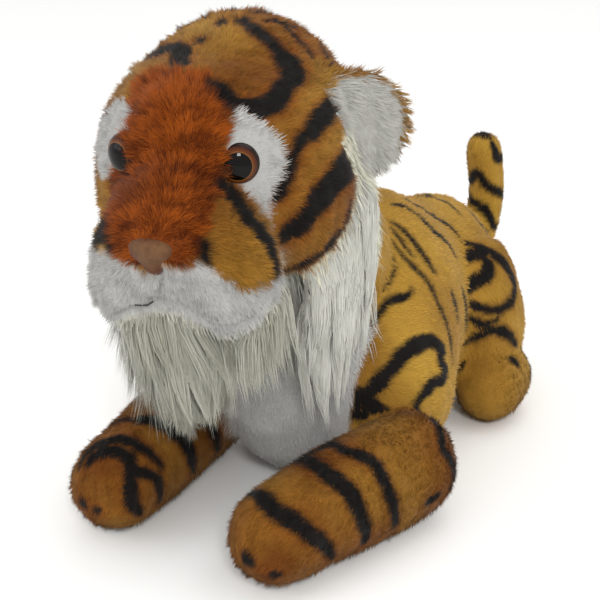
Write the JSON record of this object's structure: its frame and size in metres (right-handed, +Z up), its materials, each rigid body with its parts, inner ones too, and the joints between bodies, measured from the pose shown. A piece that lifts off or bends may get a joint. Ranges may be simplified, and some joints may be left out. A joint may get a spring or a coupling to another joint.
{
  "type": "plush tiger toy",
  "caption": "Soft stuffed tiger toy lying on its belly, head up and turned, forelegs stretched forward, tail raised, with a long white ruff and beard.",
  "frame": {"origin": "on the floor under the middle of the belly, on the flat that the toy lies on", "axes": "+Z up, nose towards -Y, the tiger's own left side towards +X"},
  "size_m": [0.2257, 0.414, 0.2928],
  "materials": {
    "short_plush": "short pile polyester plush, tan with printed black stripes",
    "face_plush": "medium pile polyester plush, tan, rust and white panels with printed black stripes",
    "ear_plush": "medium pile polyester plush, white inside and orange outside",
    "long_white_fur": "long pile faux fur, ivory white",
    "nose_suede": "short napped cloth, beige pink",
    "eye_plastic": "glossy moulded safety eye, brown iris and black pupil"
  },
  "bodies": {
    "root": {"trunk": "short_plush", "neck": "short_plush", "tail": "short_plush", "thigh_left": "short_plush", "thigh_right": "short_plush", "hindpaw_left": "short_plush", "hindpaw_right": "short_plush", "foreleg_left": "short_plush", "foreleg_right": "short_plush", "head": "face_plush", "muzzle": "face_plush", "ear_left": "ear_plush", "ear_right": "ear_plush", "ruff_left": "long_white_fur", "ruff_right": "long_white_fur", "beard": "long_white_fur", "nose": "nose_suede", "eye_left": "eye_plastic", "eye_right": "eye_plastic"}
  },
  "joints": []
}
